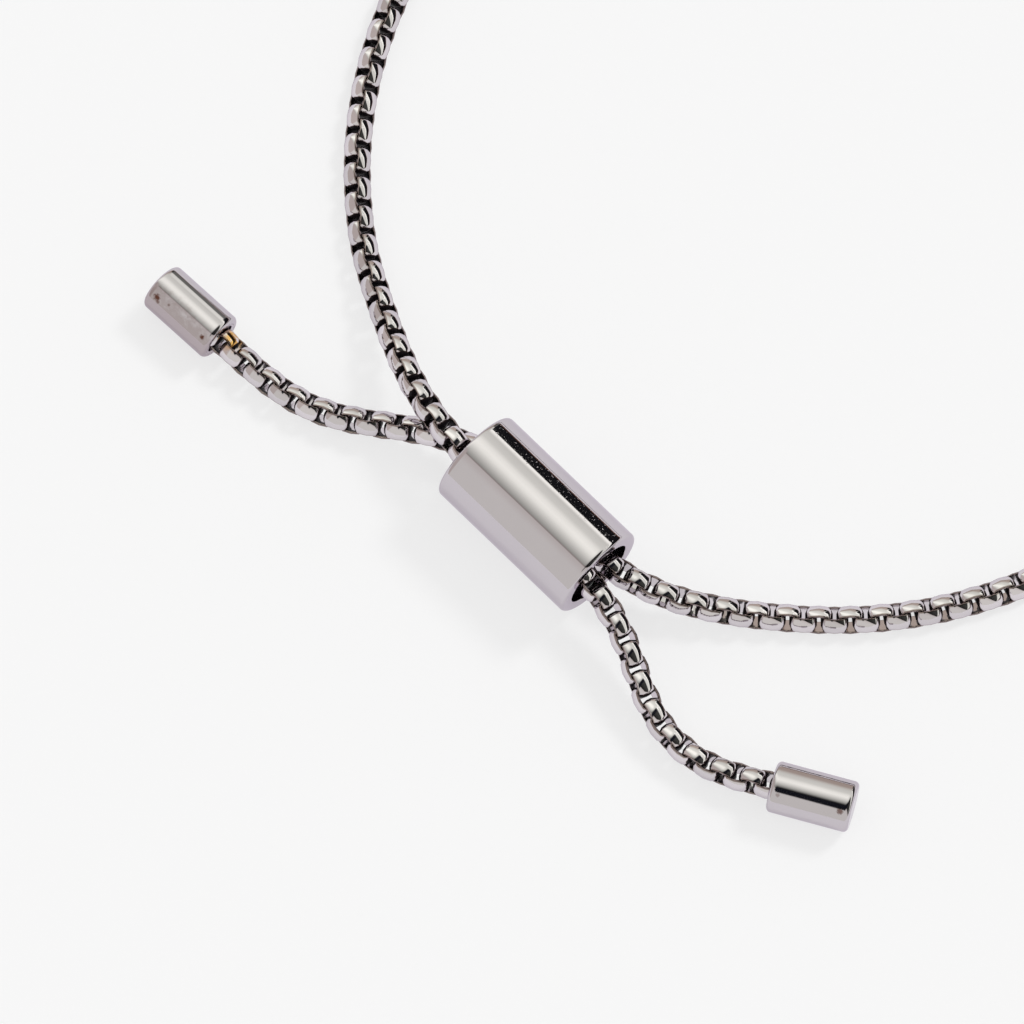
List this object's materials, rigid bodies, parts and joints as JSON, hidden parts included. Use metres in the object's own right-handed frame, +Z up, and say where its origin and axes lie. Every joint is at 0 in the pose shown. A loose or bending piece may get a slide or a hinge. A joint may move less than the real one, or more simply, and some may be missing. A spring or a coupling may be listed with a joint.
{
  "type": "bolo slider bracelet",
  "caption": "Adjustable bracelet: a rounded box chain loop whose two ends run side by side through a tubular slider and finish in small round end caps.",
  "frame": {"origin": "middle of the wrist loop, on the surface that the bracelet lies on", "axes": "+Z up, through the wrist opening; +X along the slider, from the left end cap to the right one; +Y from the slider to the far side of the loop"},
  "size_m": [0.0715, 0.0746, 0.0074],
  "materials": {
    "slider_steel": "polished, mirror bright",
    "cap_steel": "polished, with small brown tarnish spots",
    "chain_steel": "polished, darker between the links",
    "insert_rubber": "matte silicone rubber"
  },
  "bodies": {
    "root": {"slider": "slider_steel", "grip_insert": "insert_rubber", "end_cap_left": "cap_steel", "end_cap_right": "cap_steel", "chain": "chain_steel"}
  },
  "joints": []
}
